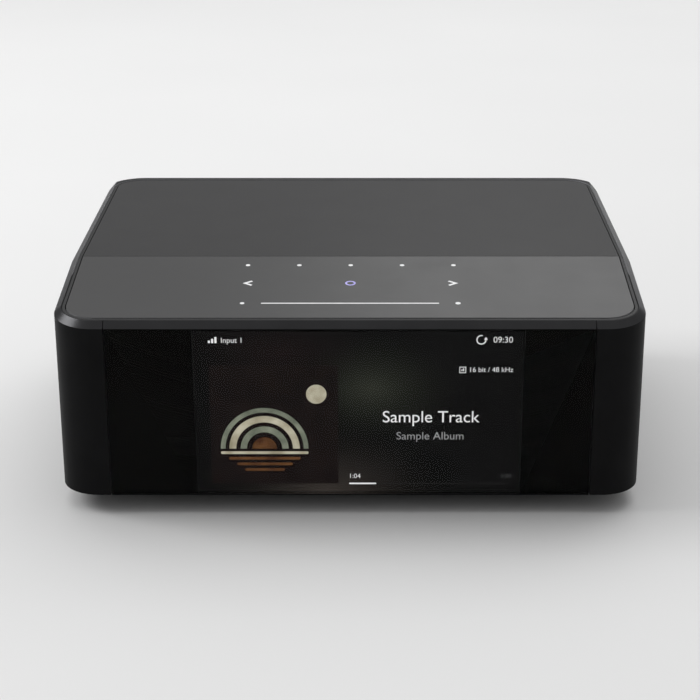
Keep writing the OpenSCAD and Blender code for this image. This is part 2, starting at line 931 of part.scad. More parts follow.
module ethernet_insert() {
    lining = shield_t + thread_gap;
    half = ethernet_size[0] / 2 - lining;
    plug_z = board_top + ethernet_plug_z;
    color("#161617")
        difference() {
            block(
                [ethernet_x - half, socket_face - ethernet_size[1] + lining, board_top + shield_t],
                [ethernet_x + half, socket_face - thread_gap, board_top + ethernet_size[2] - lining]
            );
            block(
                [ethernet_x - ethernet_plug[0] / 2, socket_face - ethernet_plug[1], plug_z],
                [ethernet_x + ethernet_plug[0] / 2, socket_face + over, plug_z + ethernet_plug[2]]
            );
            block(
                [ethernet_x - latch_w / 2, socket_face - ethernet_plug[1], plug_z - latch_h],
                [ethernet_x + latch_w / 2, socket_face + over, plug_z + over]
            );
        }
}

module ethernet_contacts() {
    plug_top = board_top + ethernet_plug_z + ethernet_plug[2];
    plug_back = socket_face - ethernet_plug[1];
    color("#d4a84a")
        for (i = [0 : contact_count - 1])
            translate([ethernet_x + (i - (contact_count - 1) / 2) * contact_step, plug_back, plug_top])
                block([-contact_w / 2, 0, -contact_t], [contact_w / 2, contact_l, 0]);
}

module usb_shell() {
    color("#b9bbbd")
        socket_shell(usb_x, usb_size, socket_face);
}

// A contact tongue in a shell, hung from a block at the shell's closed end
module tongue(x, size, tongue_size, tongue_z) {
    half = size[0] / 2 - shield_t - thread_gap;
    end_y = socket_face - size[1] + shield_t;
    block(
        [x - half, end_y, board_top + shield_t],
        [x + half, end_y + tongue_root, board_top + size[2] - shield_t - thread_gap]
    );
    block(
        [x - tongue_size[0] / 2, end_y, tongue_z],
        [x + tongue_size[0] / 2, end_y + tongue_root + tongue_size[1], tongue_z + tongue_size[2]]
    );
}

module usb_tongue() {
    color("#1d1d1f")
        tongue(usb_x, usb_size, usb_tongue_size, board_top + usb_size[2] - usb_tongue_size[2] - 2 * shield_t);
}

module hdmi_outline(w, h, bevel) {
    polygon([
        [-w / 2, h / 2], [w / 2, h / 2], [w / 2, -h / 2 + bevel],
        [w / 2 - bevel, -h / 2], [-w / 2 + bevel, -h / 2], [-w / 2, -h / 2 + bevel]
    ]);
}

module hdmi_shell() {
    hdmi_z = board_top + hdmi_size[2] / 2;
    front = socket_face - hdmi_size[1];
    color("#b9bbbd")
        difference() {
            plate_y(hdmi_x, hdmi_z, front, socket_face)
                hdmi_outline(hdmi_size[0], hdmi_size[2], hdmi_bevel);
            plate_y(hdmi_x, hdmi_z, front + shield_t, socket_face + over)
                hdmi_outline(hdmi_size[0] - 2 * shield_t, hdmi_size[2] - 2 * shield_t, hdmi_bevel);
        }
}

module hdmi_tongue() {
    hdmi_z = board_top + hdmi_size[2] / 2;
    front = socket_face - hdmi_size[1] + shield_t;
    inner = 2 * (shield_t + thread_gap);
    color("#1d1d1f") {
        plate_y(hdmi_x, hdmi_z, front, front + tongue_root)
            hdmi_outline(hdmi_size[0] - inner, hdmi_size[2] - inner, hdmi_bevel);
        translate([hdmi_x, front, hdmi_z])
            block(
                [-hdmi_tongue_size[0] / 2, 0, 0],
                [hdmi_tongue_size[0] / 2, tongue_root + hdmi_tongue_size[1], hdmi_tongue_size[2]]
            );
    }
}

// An optical socket: a square mouth with a sill that stops the shutter, and a lens at its end
module optical_socket(x) {
    pin_reach = optical_mouth[0] / 2 + shutter_pin_l - shutter_side + fit_gap;
    mouth_back = optical_face - optical_mouth[1];
    lens_z = optical_mouth_z + optical_mouth[2] / 2;
    color("#151516") {
        difference() {
            block(
                [x - optical_size[0] / 2, optical_face - optical_size[1], board_top],
                [x + optical_size[0] / 2, optical_face, board_top + optical_size[2]]
            );
            difference() {
                block(
                    [x - optical_mouth[0] / 2, mouth_back, optical_mouth_z],
                    [x + optical_mouth[0] / 2, optical_face + over, optical_mouth_z + optical_mouth[2]]
                );
                block(
                    [x - optical_mouth[0], optical_face - optical_lip[0], optical_mouth_z - over],
                    [x + optical_mouth[0], optical_face, optical_mouth_z + optical_lip[1]]
                );
                bar_y(x, lens_z, lens_r, mouth_back - over, mouth_back + lens_l);
            }
            translate([x - pin_reach, shutter_y, shutter_z])
                rotate([0, 90, 0])
                    cylinder(h = 2 * pin_reach, r = shutter_pin_r + hinge_gap);
        }
    }
}

module optical_in_socket() {
    optical_socket(optical_in_x);
}

module optical_out_socket() {
    optical_socket(optical_out_x);
}

// A shutter that hangs from two hinge pins behind the mouth's sill
module optical_shutter(x) {
    half = optical_mouth[0] / 2 - shutter_side;
    color("#2a2a2c") {
        block(
            [x - half, shutter_y - shutter_t / 2, optical_mouth_z + shutter_floor],
            [x + half, shutter_y + shutter_t / 2, shutter_z]
        );
        translate([x - half, shutter_y, shutter_z])
            rotate([0, 90, 0])
                cylinder(h = 2 * half, r = shutter_barrel_r);
        translate([x - half - shutter_pin_l, shutter_y, shutter_z])
            rotate([0, 90, 0])
                cylinder(h = 2 * (half + shutter_pin_l), r = shutter_pin_r);
    }
}

module optical_in_shutter() {
    optical_shutter(optical_in_x);
}

module optical_out_shutter() {
    optical_shutter(optical_out_x);
}

// A balanced output socket with a square flange over the back panel
module xlr_socket(x) {
    face = back_y + xlr_flange_t;
    color("#1a1a1b")
        difference() {
            union() {
                plate_y(x, xlr_z, back_y, face)
                    rounded_rect(xlr_flange[0], xlr_flange[1], xlr_flange_r);
                bar_y(x, xlr_z, xlr_barrel_r, back_y - xlr_barrel_l, back_y + over);
            }
            bar_y(x, xlr_z, xlr_mouth_r, face - xlr_mouth_l, face + over);
            for (spot = xlr_spots)
                bar_y(spot[0], spot[1], screw_r + hole_gap, back_y - over, face + over);
        }
}

module xlr_left_socket() {
    xlr_socket(xlr_left_x);
}

module xlr_right_socket() {
    xlr_socket(xlr_right_x);
}

module xlr_pins() {
    pin_y = back_y + xlr_flange_t - xlr_mouth_l;
    color("#c2a45a")
        for (x = xlr_xs, turn = xlr_pin_turns)
            bar_y(
                x + xlr_pin_circle * cos(turn), xlr_z + xlr_pin_circle * sin(turn),
                xlr_pin_r, pin_y, pin_y + xlr_pin_l
            );
}

module phono_collars() {
    shoulder_y = back_y + ring_t;
    color("#b08d3f")
        for (spot = phono_spots)
            difference() {
                union() {
                    bar_y(spot[0], spot[1], phono_thread_r, back_y - phono_tail, shoulder_y + over / 2);
                    bar_y(spot[0], spot[1], shoulder_r, shoulder_y, shoulder_y + shoulder_t);
                    bar_y(spot[0], spot[1], phono_r, shoulder_y + over / 2, back_y + jack_reach);
                }
                bar_y(spot[0], spot[1], phono_bore_r, back_y - phono_tail - over, back_y + jack_reach + over);
            }
}

// The coloured ring between a phono socket's shoulder and the back panel
module phono_ring(spot) {
    difference() {
        bar_y(spot[0], spot[1], ring_r, back_y, back_y + ring_t);
        bar_y(spot[0], spot[1], phono_thread_r + hole_gap, back_y - over, back_y + ring_t + over);
    }
}

module line_left_ring() {
    color("#d9d9d6")
        phono_ring(phono_spots[0]);
}

module line_right_ring() {
    color("#a51f22")
        phono_ring(phono_spots[1]);
}

module sub_ring() {
    color("#202124")
        phono_ring(phono_spots[2]);
}

module coax_ring() {
    color("#c8641e")
        phono_ring(phono_spots[3]);
}

module phono_insulators() {
    tail = back_y - phono_tail;
    color("#e4e2dc")
        for (spot = phono_spots)
            difference() {
                bar_y(spot[0], spot[1], insulator_r, tail, back_y + jack_reach - insulator_in);
                bar_y(spot[0], spot[1], contact_r + thread_gap, tail - over, back_y + jack_reach);
            }
}

module phono_contacts() {
    closed_y = back_y - contact_back;
    color("#cfa648")
        for (spot = phono_spots)
            difference() {
                union() {
                    bar_y(spot[0], spot[1], contact_r, closed_y, back_y + jack_reach - contact_in);
                    bar_y(spot[0], spot[1], contact_tail_r, tail_y, closed_y + over / 2);
                }
                bar_y(spot[0], spot[1], contact_bore_r, closed_y + over, back_y + jack_reach);
            }
}

module phono_nuts() {
    hole_r = phono_thread_r + thread_gap;
    color("#a9abad")
        for (spot = phono_spots)
            difference() {
                plate_y(spot[0], spot[1], rear_inside - nut_t, rear_inside)
                    circle(nut_r, $fn = 6);
                bar_y(spot[0], spot[1], hole_r, rear_inside - nut_t - over, rear_inside + over);
            }
}

module trigger_jack() {
    color("#121213")
        difference() {
            union() {
                block(
                    [trigger_x - trigger_body[0] / 2, rear_inside - trigger_body[1], board_top],
                    [trigger_x + trigger_body[0] / 2, rear_inside, board_top + trigger_body[2]]
                );
                bar_y(trigger_x, trigger_z, trigger_nose_r, rear_inside - over, trigger_face);
            }
            bar_y(trigger_x, trigger_z, trigger_r, trigger_face - trigger_l, trigger_face + over);
        }
}

// A headphone socket in the right wall: a flush bezel, a barrel through the wall and a body inside
module headphone_jack() {
    inside = wall - fit_gap;
    color("#141415")
        translate([body_w / 2 - fit_gap, front_y + headphone_y, floor_z + headphone_z])
            rotate([0, -90, 0])
                difference() {
                    union() {
                        cylinder(h = headphone_bezel_t, r = headphone_bezel_r);
                        cylinder(h = inside + over, r = headphone_barrel_r);
                        translate([-headphone_body_w / 2, -headphone_body_w / 2, inside])
                            cube([headphone_body_w, headphone_body_w, headphone_l + headphone_end - inside]);
                    }
                    translate([0, 0, -over])
                        cylinder(h = headphone_l + over, r = headphone_r);
                }
}

module headphone_jack_left() {
    mirror([1, 0, 0])
        headphone_jack();
}

module headphone_jack_right() {
    headphone_jack();
}

// Display and touch board

module display_panel() {
    color("#0a0a0c")
        block(
            [screen_shift - screen_w / 2, screen_y, screen_z0],
            [screen_shift + screen_w / 2, screen_back, screen_z1]
        );
}

module display_frame() {
    color("#a4a6a8")
        block(
            [screen_shift - screen_w / 2 - frame_side, screen_back, screen_z0],
            [screen_shift + screen_w / 2 + frame_side, frame_back, screen_z1 - frame_drop]
        );
}

module display_ribbon() {
    lie = board_top + ribbon_t / 2;
    color("#c58b3a")
        ribbon_yz(screen_shift, [
            [frame_back, board_top + display_ribbon_h],
            [frame_back + display_ribbon_run, board_top + display_ribbon_h],
            [main_y0 - display_ribbon_slack, lie],
            [main_y0 + display_ribbon_land, lie]
        ], display_ribbon_w, ribbon_t);
}

module touch_board() {
    color("#17402c")
        difference() {
            intersection() {
                under_top(panel_t);
                block(
                    [-touch_w / 2, front_y + carrier_in + touch_in, floor_z],
                    [touch_w / 2, kink_y - carrier_bar / 2 - touch_in, top_z]
                );
            }
            under_top(panel_t + board_t);
        }
}

module touch_ribbon() {
    touch_y = kink_y - carrier_bar / 2 - touch_ribbon_in;
    touch_z = top_z - (kink_y - touch_y) * tan(slope_angle) - (panel_t + board_t) / cos(slope_angle);
    land_y = main_y0 + touch_ribbon_land;
    color("#c58b3a")
        ribbon_yz(-display_ribbon_w, [
            [touch_y, touch_z - fit_gap],
            [touch_y, board_top + touch_ribbon_h],
            [land_y, board_top + touch_ribbon_foot],
            [land_y, board_top]
        ], touch_ribbon_w, ribbon_t);
}

// Boards

module board(x0, y0, x1, y1, spots) {
    color("#1f5a3a")
        difference() {
            block([x0, y0, board_low], [x1, y1, board_top]);
            holes(spots, screw_r + hole_gap, board_low - over, board_top + over);
        }
}

module main_board() {
    board(main_x0, main_y0, main_x1, main_y1, main_spots);
}

module power_board() {
    board(power_x0, power_y0, power_x1, power_y1, power_spots);
}

module board_standoffs() {
    color("#c4a85c")
        difference() {
            holes(board_spots, standoff_r, base_top, board_low);
            holes(board_spots, screw_r + thread_gap, base_top - over, board_low + over);
        }
}

module board_screws() {
    color("#8d8f92")
        for (spot = board_spots)
            translate([spot[0], spot[1], board_top])
                screw(board_t + standoff_h - over);
}

// A box that stands on the boards' upper face
module on_board(spot, size) {
    translate([spot[0] - size[0] / 2, spot[1] - size[1] / 2, board_top])
        cube(size);
}

module board_chips() {
    color("#232326") {
        on_board(processor_spot, [chip_w, chip_w, chip_t]);
        for (spot = dac_spots)
            on_board(spot, dac_size);
    }
}

module heat_sink() {
    sink_z = board_top + chip_t;
    fin_t = sink_w / (2 * sink_fins - 1);
    sink_base = 3;
    color("#9b9da0")
        translate([processor_spot[0] - sink_w / 2, processor_spot[1] - sink_w / 2, sink_z]) {
            cube([sink_w, sink_w, sink_base]);
            for (i = [0 : sink_fins - 1])
                translate([2 * i * fin_t, 0, 0])
                    cube([fin_t, sink_w, sink_h]);
        }
}

module wireless_module() {
    color("#b4b6b8")
        on_board(module_spot, module_size);
}

module antennas() {
    color("#c7b377")
        for (x = [-1, 1])
            translate([
                x * (body_w / 2 - antenna_side) - antenna_size[0] / 2,
                kink_y + antenna_back,
                top_z - panel_t - antenna_size[2]
            ])
                cube(antenna_size);
}

module transformer() {
    color("#8a6f3a") {
        on_board(transformer_spot, core_size);
        on_board(transformer_spot, winding_size);
    }
}

module capacitors() {
    color("#23304a")
        for (i = [-1 : 1])
            translate([power_mid_x + i * capacitor_step, power_y0 + capacitor_in, board_top])
                cylinder(h = capacitor_h, r = capacitor_r);
}

module power_lead() {
    from_x = power_x1 - lead_in[0];
    to_x = main_x0 + lead_in[0];
    color("#7a2326")
        plate_y(0, board_top, power_y0 + lead_in[1], power_y0 + lead_in[1] + lead_w)
            polygon(ribbon_outline([[from_x, 0], [from_x, lead_h], [to_x, lead_h], [to_x, 0]], lead_t));
}

module output_board() {
    color("#1f5a3a")
        block(
            [xlr_right_x - xlr_flange[0] / 2, tail_y - board_t, phono_low_z - ring_r],
            [coax_x + ring_r, tail_y, phono_top_z + ring_r]
        );
}

body_shell();
front_fascia();
front_glass();
control_glass();
top_plate();
top_carrier();
base_plate();
foot_front_left();
foot_front_right();
foot_rear_left();
foot_rear_right();
foot_screws();
base_screws();
rear_panel();
rear_screws();
mains_inlet();
mains_pins();
ethernet_shield();
ethernet_insert();
ethernet_contacts();
usb_shell();
usb_tongue();
hdmi_shell();
hdmi_tongue();
optical_in_socket();
optical_in_shutter();
optical_out_socket();
optical_out_shutter();
xlr_left_socket();
xlr_right_socket();
xlr_pins();
phono_collars();
line_left_ring();
line_right_ring();
sub_ring();
coax_ring();
phono_insulators();
phono_contacts();
phono_nuts();
trigger_jack();
headphone_jack_left();
headphone_jack_right();
display_panel();
display_frame();
display_ribbon();
touch_board();
touch_ribbon();
main_board();
board_standoffs();
board_screws();
board_chips();
heat_sink();
wireless_module();
antennas();
power_board();
transformer();
capacitors();
power_lead();
output_board();
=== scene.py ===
"""Looks of the network music streamer: materials, signs, display picture, print, studio and camera."""

import json
import math

import bmesh
import bpy
from mathutils import Matrix, Vector


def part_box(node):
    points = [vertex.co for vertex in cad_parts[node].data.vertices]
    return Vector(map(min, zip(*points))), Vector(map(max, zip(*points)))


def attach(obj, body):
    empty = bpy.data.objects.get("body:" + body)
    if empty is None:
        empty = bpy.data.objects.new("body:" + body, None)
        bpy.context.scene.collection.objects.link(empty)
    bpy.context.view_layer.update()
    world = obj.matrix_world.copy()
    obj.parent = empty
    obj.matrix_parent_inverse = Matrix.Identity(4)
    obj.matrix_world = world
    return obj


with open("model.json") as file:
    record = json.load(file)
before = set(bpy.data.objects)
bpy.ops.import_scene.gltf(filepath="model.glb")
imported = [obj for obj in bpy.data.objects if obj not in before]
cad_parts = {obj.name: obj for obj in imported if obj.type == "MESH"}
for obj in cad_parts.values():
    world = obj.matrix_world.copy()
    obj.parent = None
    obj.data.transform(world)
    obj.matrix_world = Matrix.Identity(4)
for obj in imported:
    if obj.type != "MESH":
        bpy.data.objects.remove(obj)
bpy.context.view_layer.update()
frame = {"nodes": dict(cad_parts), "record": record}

MM = 0.001
CHASSIS = "chassis"
nodes = frame["nodes"]


# Places on the part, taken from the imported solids

shell_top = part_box("body_shell")[1].z
plate_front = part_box("top_plate")[0].y
display_low, display_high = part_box("display_panel")
panel_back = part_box("rear_panel")[1].y

SLOPE = math.radians(7.0)
CREASE = Vector((0.0, plate_front, shell_top))
DOWN_SLOPE = Vector((0.0, -math.cos(SLOPE), -math.sin(SLOPE)))
RIGHT = Vector((1.0, 0.0, 0.0))
UP = Vector((0.0, 0.0, 1.0))


# Materials

EVEN = (1.0, 1.0, 1.0)


def grey(value, tint=(1.0, 1.0, 1.04)):
    return tuple(value * part for part in tint)


def node_tree(name):
    """A new material with its output shader, node list and links."""
    material = bpy.data.materials.new(name)
    material.use_nodes = True
    tree = material.node_tree
    shader = tree.nodes["Principled BSDF"]
    return material, tree, shader


def place_nodes(tree, stretch=EVEN):
    """Coordinates in metres on the part, stretched along some axes."""
    coordinates = tree.nodes.new("ShaderNodeTexCoord")
    mapping = tree.nodes.new("ShaderNodeMapping")
    mapping.inputs["Scale"].default_value = stretch
    tree.links.new(coordinates.outputs["Object"], mapping.inputs["Vector"])
    return mapping.outputs["Vector"]


def noise_node(tree, vector, scale, detail=3.0, rough=0.55):
    noise = tree.nodes.new("ShaderNodeTexNoise")
    noise.inputs["Scale"].default_value = scale
    noise.inputs["Detail"].default_value = detail
    noise.inputs["Roughness"].default_value = rough
    tree.links.new(vector, noise.inputs["Vector"])
    return noise.outputs["Fac"]


def ramp_node(tree, factor, stops):
    ramp = tree.nodes.new("ShaderNodeValToRGB")
    elements = ramp.color_ramp.elements
    while len(elements) < len(stops):
        elements.new(0.5)
    for element, (position, colour) in zip(elements, stops):
        element.position = position
        element.color = (*colour, 1.0)
    tree.links.new(factor, ramp.inputs["Fac"])
    return ramp.outputs["Color"]


def range_node(tree, value, low, high, from_low=0.3, from_high=0.7):
    mapped = tree.nodes.new("ShaderNodeMapRange")
    mapped.inputs["From Min"].default_value = from_low
    mapped.inputs["From Max"].default_value = from_high
    mapped.inputs["To Min"].default_value = low
    mapped.inputs["To Max"].default_value = high
    tree.links.new(value, mapped.inputs["Value"])
    return mapped.outputs["Result"]


def mix_node(tree, factor, first, second, kind):
    mix = tree.nodes.new("ShaderNodeMix")
    mix.data_type = kind
    sockets = [socket for socket in mix.inputs if socket.enabled]
    tree.links.new(factor, sockets[0])
    tree.links.new(first, sockets[1])
    tree.links.new(second, sockets[2])
    return next(socket for socket in mix.outputs if socket.enabled)


def height_of(tree, vector):
    """The upward part of a place or of a normal."""
    split = tree.nodes.new("ShaderNodeSeparateXYZ")
    tree.links.new(vector, split.inputs["Vector"])
    return split.outputs["Z"]


def upward_node(tree):
    """How far a face looks upwards: 1 on a level top, 0 on an upright wall."""
    geometry = tree.nodes.new("ShaderNodeNewGeometry")
    return height_of(tree, geometry.outputs["Normal"])


def bump_node(tree, height, strength, distance):
    bump = tree.nodes.new("ShaderNodeBump")
    bump.inputs["Strength"].default_value = strength
    bump.inputs["Distance"].default_value = distance
    tree.links.new(height, bump.inputs["Height"])
    return bump.outputs["Normal"]


def surface(
    name, dark, light, rough, metallic=0.0, specular=0.5, wear_scale=60.0,
    grain=900.0, bump=0.15, depth=0.00004, stretch=EVEN, coat=0.0,
):
    """A finish with broad colour and gloss variation and a fine grain in the surface."""
    material, tree, shader = node_tree(name)
    vector = place_nodes(tree, stretch)
    broad = noise_node(tree, vector, wear_scale, 4.0)
    fine = noise_node(tree, vector, grain, 2.0, 0.7)
    tree.links.new(ramp_node(tree, broad, [(0.3, dark), (0.7, light)]), shader.inputs["Base Color"])
    tree.links.new(range_node(tree, fine, rough[0], rough[1]), shader.inputs["Roughness"])
    tree.links.new(bump_node(tree, fine, bump, depth), shader.inputs["Normal"])
    shader.inputs["Metallic"].default_value = metallic
    shader.inputs["Specular IOR Level"].default_value = specular
    shader.inputs["Coat Weight"].default_value = coat
    shader.inputs["Coat Roughness"].default_value = 0.08
    return material


# Share of the rim's metal finish by how far a face looks upwards, partly a machined rim and partly a
# painted highlight: none on the walls, nor on the narrow flat beside the sloped glass, which is painted
# shade
RIM_AND_PAINTED_LIGHT_SHARE = ((0.35, 0.0), (0.6, 1.0), (0.92, 1.0), (0.96, 0.0), (0.994, 0.0), (0.998, 1.0))
RIM_TONES = (0.053, 0.062)
RIM_ROUGH = (0.28, 0.34)
RIM_TINT = (0.75, 0.75, 0.76, 1.0)
# The upright faces inside the rim above this height are painted pale: a painted highlight of a bright edge
INNER_EDGE_Z = 81.3
INNER_EDGE_FADE = 0.1
INNER_EDGE_HIGHLIGHT_TONES = (0.34, 0.36)
WALL_ROUGH = (0.42, 0.52)
WALL_SPECULAR = 0.05
WALL_GRAIN = 2600.0


def rim_and_painted_light_surface(name, wall_tones):
    """A satin finish with a machined rim, metal and paler and smoother than the walls.

    The rim is the faces that look upwards; their paler metal is partly a machined finish and partly a
    painted highlight, and the narrow flat beside the sloped glass is left dark as painted shade. The
    upright faces inside the rim lie above every outer wall, and are painted pale as a painted highlight of
    a bright edge.
    """
    material, tree, shader = node_tree(name)
    vector = place_nodes(tree)
    broad = noise_node(tree, vector, 60.0, 4.0)
    fine = noise_node(tree, vector, WALL_GRAIN, 2.0, 0.7)

    def tone(pair):
        return ramp_node(tree, broad, [(0.3, grey(pair[0])), (0.7, grey(pair[1]))])

    # Paler metal on the faces that look upwards: a machined rim and a painted highlight; the flat beside
    # the sloped glass stays dark as painted shade
    on_rim_and_painted_light = ramp_node(tree, upward_node(tree), [(at, grey(share, EVEN)) for at, share in RIM_AND_PAINTED_LIGHT_SHARE])
    # Painted highlight: a pale tone on the upright faces above every outer wall
    highlight_low = INNER_EDGE_Z * MM
    highlight_high = (INNER_EDGE_Z + INNER_EDGE_FADE) * MM
    on_inner_highlight = range_node(tree, height_of(tree, vector), 0.0, 1.0, highlight_low, highlight_high)
    wall_and_highlight_tone = mix_node(tree, on_inner_highlight, tone(wall_tones), tone(INNER_EDGE_HIGHLIGHT_TONES), "RGBA")
    colour = mix_node(tree, on_rim_and_painted_light, wall_and_highlight_tone, tone(RIM_TONES), "RGBA")
    tree.links.new(colour, shader.inputs["Base Color"])
    tree.links.new(on_rim_and_painted_light, shader.inputs["Metallic"])
    wall_gloss = range_node(tree, fine, *WALL_ROUGH)
    rim_gloss = range_node(tree, fine, *RIM_ROUGH)
    tree.links.new(mix_node(tree, on_rim_and_painted_light, wall_gloss, rim_gloss, "FLOAT"), shader.inputs["Roughness"])
    tree.links.new(bump_node(tree, fine, 0.1, 0.00002), shader.inputs["Normal"])
    shader.inputs["Specular IOR Level"].default_value = WALL_SPECULAR
    shader.inputs["Specular Tint"].default_value = RIM_TINT
    return material


def painted_edge_highlight(material, tone):
    """Gives the faces that don't look upwards a paler tone, a painted highlight on the edges."""
    tree = material.node_tree
    base = tree.nodes["Principled BSDF"].inputs["Base Color"]
    face_tone = base.links[0].from_socket
    on_edge_highlight = range_node(tree, upward_node(tree), 1.0, 0.0, 0.3, 0.6)
    highlight_noise = noise_node(tree, place_nodes(tree), 900.0)
    edge_highlight_tone = ramp_node(tree, highlight_noise, [(0.3, grey(tone)), (0.7, grey(tone * 1.15))])
    tree.links.new(mix_node(tree, on_edge_highlight, face_tone, edge_highlight_tone, "RGBA"), base)


def lit(name, dark, light, strength, scale=240.0):
    """A lit print: its own light, with the slight unevenness of a backlight."""
    material, tree, shader = node_tree(name)
    vector = place_nodes(tree)
    uneven = noise_node(tree, vector, scale, 2.0)
    colour = ramp_node(tree, uneven, [(0.3, dark), (0.7, light)])
    tree.links.new(colour, shader.inputs["Emission Color"])
    shader.inputs["Base Color"].default_value = (0.004, 0.004, 0.004, 1.0)
    shader.inputs["Emission Strength"].default_value = strength
    shader.inputs["Roughness"].default_value = 0.4
    shader.inputs["Specular IOR Level"].default_value = 0.0
    material.cycles.emission_sampling = "NONE"
    return material


def clear_glass(name):
    """Coated cover glass: clear, very slightly grey, with a faint unevenness in its tint."""
    material, tree, shader = node_tree(name)
    vector = place_nodes(tree)
    wave = noise_node(tree, vector, 14.0, 2.0)
    tint = ramp_node(tree, wave, [(0.2, (0.93, 0.935, 0.94)), (0.8, (0.96, 0.96, 0.965))])
    tree.links.new(tint, shader.inputs["Base Color"])
    shader.inputs["Roughness"].default_value = 0.0
    shader.inputs["Transmission Weight"].default_value = 1.0
    shader.inputs["IOR"].default_value = 1.16
    return material


def circuit_board(name, mask, trace):
    """Solder mask over a net of copper tracks."""
    material, tree, shader = node_tree(name)
    vector = place_nodes(tree)
    cells = tree.nodes.new("ShaderNodeTexVoronoi")
    cells.feature = "DISTANCE_TO_EDGE"
    cells.distance = "CHEBYCHEV"
    cells.inputs["Scale"].default_value = 260.0
    tree.links.new(vector, cells.inputs["Vector"])
    colour = ramp_node(tree, cells.outputs["Distance"], [(0.05, trace), (0.12, mask)])
    tree.links.new(colour, shader.inputs["Base Color"])
    tree.links.new(range_node(tree, noise_node(tree, vector, 500.0), 0.3, 0.45), shader.inputs["Roughness"])
    tree.links.new(bump_node(tree, cells.outputs["Distance"], 0.2, 0.00003), shader.inputs["Normal"])
    return material


def ring_plastic(name, dark, light):
    """Coloured plastic of the rings that tell the phono sockets apart."""
    return surface(name, dark, light, (0.25, 0.35), grain=1200.0, bump=0.06)


BRUSHED_X = (0.06, 1.0, 1.0)
# Pale tone painted on the control glass's edges as a highlight
EDGE_HIGHLIGHT_TONE = 0.21

slot_materials = {
    # Casing and fascia: a machined rim with a painted highlight on the faces that look up, and painted
    # shade on the flat beside the sloped glass
    "casing": rim_and_painted_light_surface("casing_satin", (0.007, 0.01)),
    "fascia": rim_and_painted_light_surface("fascia_satin", (0.003, 0.0045)),
    "front_glass": clear_glass("cover_glass"),
    "control_glass": surface(
        "control_glass_dark", grey(0.018), grey(0.022), (0.32, 0.36), specular=0.45, wear_scale=16.0,
        grain=60.0, bump=0.0,
    ),
    "top_plate": surface(
        "top_plate_satin", grey(0.02), grey(0.024), (0.3, 0.36), specular=0.24, grain=3200.0,
        bump=0.08, depth=0.00002,
    ),
    "carrier": surface("carrier_black", grey(0.014), grey(0.019), (0.4, 0.5), specular=0.22, grain=1800.0),
    "base": surface(
        "base_powder", grey(0.018), grey(0.028), (0.45, 0.6), grain=1500.0, bump=0.35, depth=0.00006
    ),
    "foot_rubber": surface(
        "foot_rubber", grey(0.01), grey(0.016), (0.6, 0.8), specular=0.3, grain=1400.0, bump=0.4
    ),
    "screw_steel": surface(
        "screw_zinc", grey(0.32), grey(0.46), (0.25, 0.42), metallic=1.0, grain=1600.0, stretch=BRUSHED_X
    ),
    "rear_panel": surface(
        "rear_powder", grey(0.015), grey(0.022), (0.42, 0.56), grain=1700.0, bump=0.3, depth=0.00005
    ),
    "socket_black": surface("socket_black", grey(0.012), grey(0.018), (0.32, 0.44), grain=1500.0),
    "shutter_black": surface("shutter_black", grey(0.026), grey(0.036), (0.35, 0.45), grain=1500.0),
    "socket_shield": surface(
        "socket_nickel", grey(0.5), grey(0.62), (0.2, 0.34), metallic=1.0, grain=1200.0, stretch=BRUSHED_X
    ),
    "gold_plate": surface(
        "gold_plate", (0.7, 0.45, 0.14), (0.83, 0.58, 0.22), (0.16, 0.28), metallic=1.0, grain=1200.0,
        bump=0.05,
    ),
    "pin_metal": surface(
        "pin_nickel", grey(0.6), grey(0.74), (0.12, 0.22), metallic=1.0, grain=900.0, bump=0.05
    ),
    "ring_white": ring_plastic("ring_white", (0.68, 0.67, 0.63), (0.75, 0.74, 0.7)),
    "ring_red": ring_plastic("ring_red", (0.36, 0.012, 0.014), (0.46, 0.02, 0.022)),
    "ring_black": ring_plastic("ring_black", grey(0.014), grey(0.022)),
    "ring_orange": ring_plastic("ring_orange", (0.52, 0.12, 0.01), (0.64, 0.17, 0.02)),
    "insulator": surface("insulator_cream", (0.62, 0.6, 0.53), (0.7, 0.68, 0.61), (0.4, 0.5), grain=1200.0),
    "display": surface(
        "display_black", grey(0.003), grey(0.005), (0.1, 0.16), specular=0.2, grain=300.0, bump=0.0
    ),
    "frame_metal": surface(
        "frame_sheet", grey(0.035), grey(0.05), (0.4, 0.55), metallic=1.0, grain=1500.0, stretch=BRUSHED_X
    ),
    "flex_amber": surface(
        "flex_film", (0.36, 0.17, 0.04), (0.46, 0.24, 0.06), (0.3, 0.4), stretch=(1.0, 0.05, 0.05)
    ),
    "board_green": circuit_board("board_mask", (0.012, 0.075, 0.038), (0.03, 0.15, 0.07)),
    "chip_black": surface("chip_black", grey(0.014), grey(0.022), (0.45, 0.6), grain=2500.0, bump=0.2),
    "sink_metal": surface(
        "sink_extrusion", grey(0.28), grey(0.36), (0.35, 0.5), metallic=1.0, grain=1400.0,
        stretch=(1.0, 0.05, 1.0),
    ),
    "antenna": surface("antenna_film", (0.44, 0.35, 0.14), (0.54, 0.46, 0.22), (0.3, 0.4), metallic=0.4),
    "transformer": surface(
        "winding_copper", (0.22, 0.11, 0.03), (0.4, 0.22, 0.07), (0.3, 0.45), metallic=0.6, grain=1800.0,
        stretch=(0.1, 0.1, 1.0), bump=0.5,
    ),
    "capacitor": surface(
        "capacitor_sleeve", (0.012, 0.02, 0.05), (0.02, 0.032, 0.075), (0.25, 0.35), coat=0.3
    ),
    "lead_red": surface(
        "lead_sleeves", (0.16, 0.008, 0.01), (0.26, 0.02, 0.022), (0.4, 0.5), stretch=(1.0, 12.0, 1.0)
    ),
}

# Painted highlight on the edges of the control glass
painted_edge_highlight(slot_materials["control_glass"], EDGE_HIGHLIGHT_TONE)

